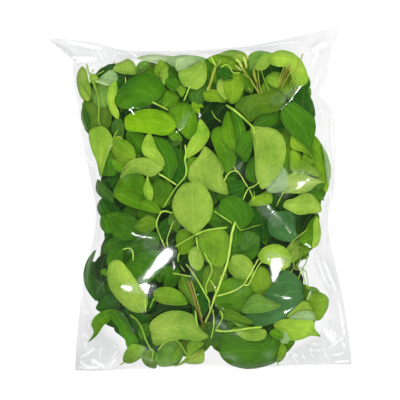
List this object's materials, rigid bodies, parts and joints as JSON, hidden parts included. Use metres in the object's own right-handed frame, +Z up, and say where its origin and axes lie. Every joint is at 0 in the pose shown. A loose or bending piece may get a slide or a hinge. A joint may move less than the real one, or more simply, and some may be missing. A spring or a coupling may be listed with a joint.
{
  "type": "bag of fresh sour leaves",
  "caption": "Clear glossy film bag, sealed and pressed round a pillow of fresh green vine leaves, thin stems and tendrils, lying on its back.",
  "frame": {"origin": "middle of the bag's box, at the level of the underside that it rests on", "axes": "+Z up out of the face that shows, +Y towards the bag's mouth, +X to the right as seen from above"},
  "size_m": [0.3044, 0.3455, 0.0808],
  "materials": {
    "leaf": "waxy",
    "stem": "satin",
    "film": "clear gloss"
  },
  "bodies": {
    "root": {"leaf_bag": "leaf"}
  },
  "joints": []
}
